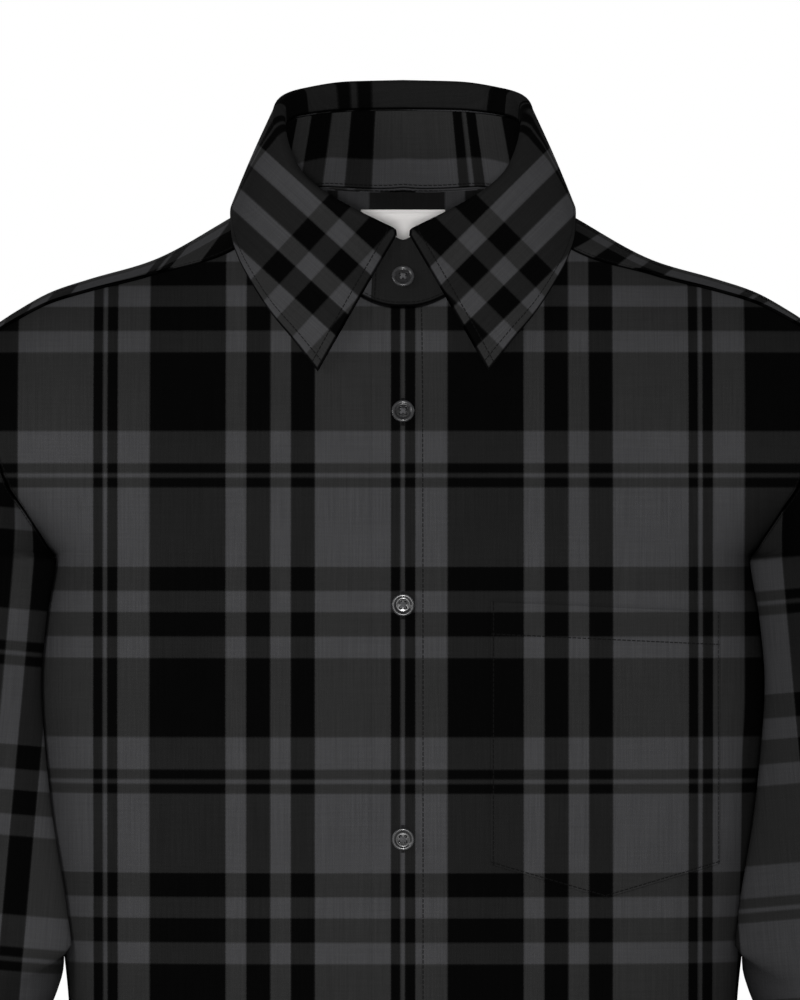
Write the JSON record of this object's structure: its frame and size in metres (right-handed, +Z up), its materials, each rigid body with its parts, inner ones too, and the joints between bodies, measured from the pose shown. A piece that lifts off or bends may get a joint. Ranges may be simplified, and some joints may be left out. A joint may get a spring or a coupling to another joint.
{
  "type": "flannel shirt",
  "caption": "Long-sleeved plaid flannel shirt with a pointed collar, button front and chest pocket, filled out as if worn and open inside.",
  "frame": {"origin": "middle of the neck, level with the high points of the shoulders, where the wearer holds the shirt", "axes": "+Z up along the wearer's spine, +X to the wearer's left, and the buttoned front faces -Y"},
  "size_m": [0.6174, 0.2609, 0.8488],
  "materials": {
    "flannel": "brushed black and grey plaid cotton flannel",
    "label": "blank woven satin",
    "button": "smoky dark grey resin with a raised rim"
  },
  "bodies": {
    "root": {"front_left": "flannel", "front_right": "flannel", "back": "flannel", "yoke": "flannel", "sleeve_left": "flannel", "sleeve_right": "flannel", "cuff_left": "flannel", "cuff_right": "flannel", "collar_stand": "flannel", "collar_leaf": "flannel", "chest_pocket": "flannel", "neck_label": "label", "button_stand": "button", "button_front_1": "button", "button_front_2": "button", "button_front_3": "button", "button_front_4": "button", "button_front_5": "button", "button_front_6": "button", "button_cuff_left": "button", "button_cuff_right": "button"}
  },
  "joints": []
}
